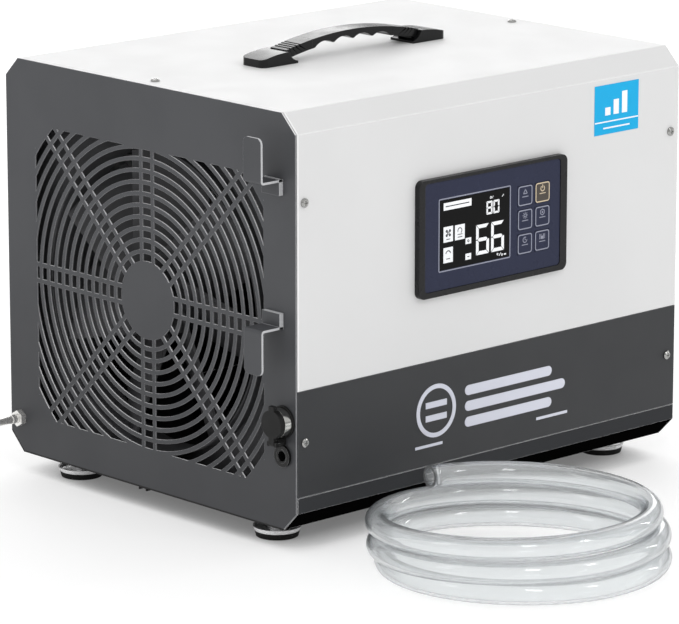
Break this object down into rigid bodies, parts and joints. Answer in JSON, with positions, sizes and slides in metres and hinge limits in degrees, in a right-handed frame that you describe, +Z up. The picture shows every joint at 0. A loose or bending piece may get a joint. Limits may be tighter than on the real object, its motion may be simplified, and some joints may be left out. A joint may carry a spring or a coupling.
{
  "type": "dehumidifier",
  "caption": "Box-shaped dehumidifier with a round slotted air grille, control panel, strap handle, cord hooks, levelling feet and a loose coil of clear drain hose.",
  "frame": {"origin": "on the floor under the middle of the cabinet, in the plane that the four feet stand on", "axes": "+X along the front towards the intake end, front faces -Y, +Z up"},
  "size_m": [0.471, 0.6479, 0.3802],
  "materials": {
    "cover_white": "smooth white powder coat",
    "sheet_dark": "fine dark grey powder coat",
    "pan_black": "satin black powder coat",
    "handle_black": "satin black moulded plastic",
    "screw_plate": "bright plated steel",
    "spigot_steel": "turned steel",
    "socket_nickel": "bright nickel plate",
    "foot_chrome": "bright spun chrome",
    "foot_rubber": "black moulded rubber",
    "cap_rubber": "black moulded rubber",
    "gland_black": "black moulded plastic",
    "bezel_black": "satin black moulded plastic",
    "film_blue": "printed blue grey film",
    "display_black": "dark window with white figures",
    "board_green": "green circuit board",
    "label_blue": "printed cyan sticker",
    "emblem_silver": "pale silver grey print",
    "fan_black": "dark moulded fan",
    "motor_black": "black painted motor shell",
    "bracket_zinc": "plain bracket",
    "compressor_black": "black painted steel",
    "coil_fins": "plain fins on tubes",
    "line_copper": "drawn copper tube",
    "tray_plastic": "dark moulded plastic",
    "tube_pvc": "pale flexible tube",
    "filter_black": "black moulded frame",
    "filter_cloth": "pleated filter cloth",
    "hose_clear": "clear vinyl hose"
  },
  "bodies": {
    "cabinet": {"base_pan": "sheet_dark", "lower_skirts": "sheet_dark", "top_cover": "cover_white", "fan_guard_plate": "sheet_dark", "intake_plate": "sheet_dark", "cover_screws": "screw_plate", "handle_cap_left": "handle_black", "handle_cap_right": "handle_black", "cord_hook_upper": "sheet_dark", "cord_hook_lower": "sheet_dark", "hook_rivets": "sheet_dark", "drain_spigot": "spigot_steel", "drain_nut": "spigot_steel", "socket_shell": "socket_nickel", "cap_strap": "cap_rubber", "gland_body": "gland_black", "gland_sleeve": "socket_nickel", "foot_nuts": "screw_plate", "panel_bezel": "bezel_black", "panel_film": "film_blue", "display": "display_black", "panel_board": "board_green", "rating_label": "label_blue", "emblem": "emblem_silver", "fan_shroud": "sheet_dark", "motor_bracket": "bracket_zinc", "fan_motor": "motor_black", "compressor_shell": "compressor_black", "compressor_lid": "compressor_black", "compressor_grommets": "foot_rubber", "evaporator": "coil_fins", "condenser": "coil_fins", "refrigerant_lines": "line_copper", "drip_tray": "tray_plastic", "condensate_pump": "tray_plastic", "pump_tube": "tube_pvc", "control_box": "sheet_dark", "base_channel": "pan_black"},
    "fan": {"fan_rotor": "fan_black"},
    "handle": {"handle_grip": "handle_black", "handle_link_left": "handle_black", "handle_link_right": "handle_black"},
    "plug_cap": {"socket_cap": "cap_rubber"},
    "key_1_body": {"key_1": "film_blue"},
    "key_2_body": {"key_2": "film_blue"},
    "key_3_body": {"key_3": "film_blue"},
    "key_4_body": {"key_4": "film_blue"},
    "key_5_body": {"key_5": "film_blue"},
    "key_6_body": {"key_6": "film_blue"},
    "filter": {"filter_frame": "filter_black", "filter_mesh": "filter_cloth"},
    "foot_fl": {"foot_cup_fl": "foot_chrome", "foot_pad_fl": "foot_rubber"},
    "foot_fr": {"foot_cup_fr": "foot_chrome", "foot_pad_fr": "foot_rubber"},
    "foot_rl": {"foot_cup_rl": "foot_chrome", "foot_pad_rl": "foot_rubber"},
    "foot_rr": {"foot_cup_rr": "foot_chrome", "foot_pad_rr": "foot_rubber"},
    "loose_hose": {"drain_hose_coil": "hose_clear"}
  },
  "joints": [
    {"name": "fan_spin", "type": "hinge", "parent": "cabinet", "child": "fan", "pos_m": [-0.18, 0, 0.1794], "axis": [1, 0, 0], "continuous": true},
    {"name": "handle_lift", "type": "slide", "parent": "cabinet", "child": "handle", "axis": [0, 0, 1], "range_m": [0, 0.012], "stiffness_N_per_m": 400, "deforming": ["handle_link_left", "handle_link_right"]},
    {"name": "cap_hinge", "type": "hinge", "parent": "cabinet", "child": "plug_cap", "pos_m": [-0.2327, -0.1655, 0.0924], "axis": [0, -1, 0], "range_deg": [0, 105]},
    {"name": "key_1_press", "type": "slide", "parent": "cabinet", "child": "key_1_body", "axis": [0, 1, 0], "range_m": [0, 0.0005], "stiffness_N_per_m": 800},
    {"name": "key_2_press", "type": "slide", "parent": "cabinet", "child": "key_2_body", "axis": [0, 1, 0], "range_m": [0, 0.0005], "stiffness_N_per_m": 800},
    {"name": "key_3_press", "type": "slide", "parent": "cabinet", "child": "key_3_body", "axis": [0, 1, 0], "range_m": [0, 0.0005], "stiffness_N_per_m": 800},
    {"name": "key_4_press", "type": "slide", "parent": "cabinet", "child": "key_4_body", "axis": [0, 1, 0], "range_m": [0, 0.0005], "stiffness_N_per_m": 800},
    {"name": "key_5_press", "type": "slide", "parent": "cabinet", "child": "key_5_body", "axis": [0, 1, 0], "range_m": [0, 0.0005], "stiffness_N_per_m": 800},
    {"name": "key_6_press", "type": "slide", "parent": "cabinet", "child": "key_6_body", "axis": [0, 1, 0], "range_m": [0, 0.0005], "stiffness_N_per_m": 800},
    {"name": "filter_pull", "type": "slide", "parent": "cabinet", "child": "filter", "axis": [0, 1, 0], "range_m": [0, 0.345]},
    {"name": "foot_fl_screw", "type": "slide", "parent": "cabinet", "child": "foot_fl", "axis": [0, 0, -1], "range_m": [0, 0.008]},
    {"name": "foot_fr_screw", "type": "slide", "parent": "cabinet", "child": "foot_fr", "axis": [0, 0, -1], "range_m": [0, 0.008]},
    {"name": "foot_rl_screw", "type": "slide", "parent": "cabinet", "child": "foot_rl", "axis": [0, 0, -1], "range_m": [0, 0.008]},
    {"name": "foot_rr_screw", "type": "slide", "parent": "cabinet", "child": "foot_rr", "axis": [0, 0, -1], "range_m": [0, 0.008]},
    {"name": "hose_lift", "type": "slide", "parent": "cabinet", "child": "loose_hose", "axis": [0, 0, 1], "range_m": [0, 0.35]}
  ]
}
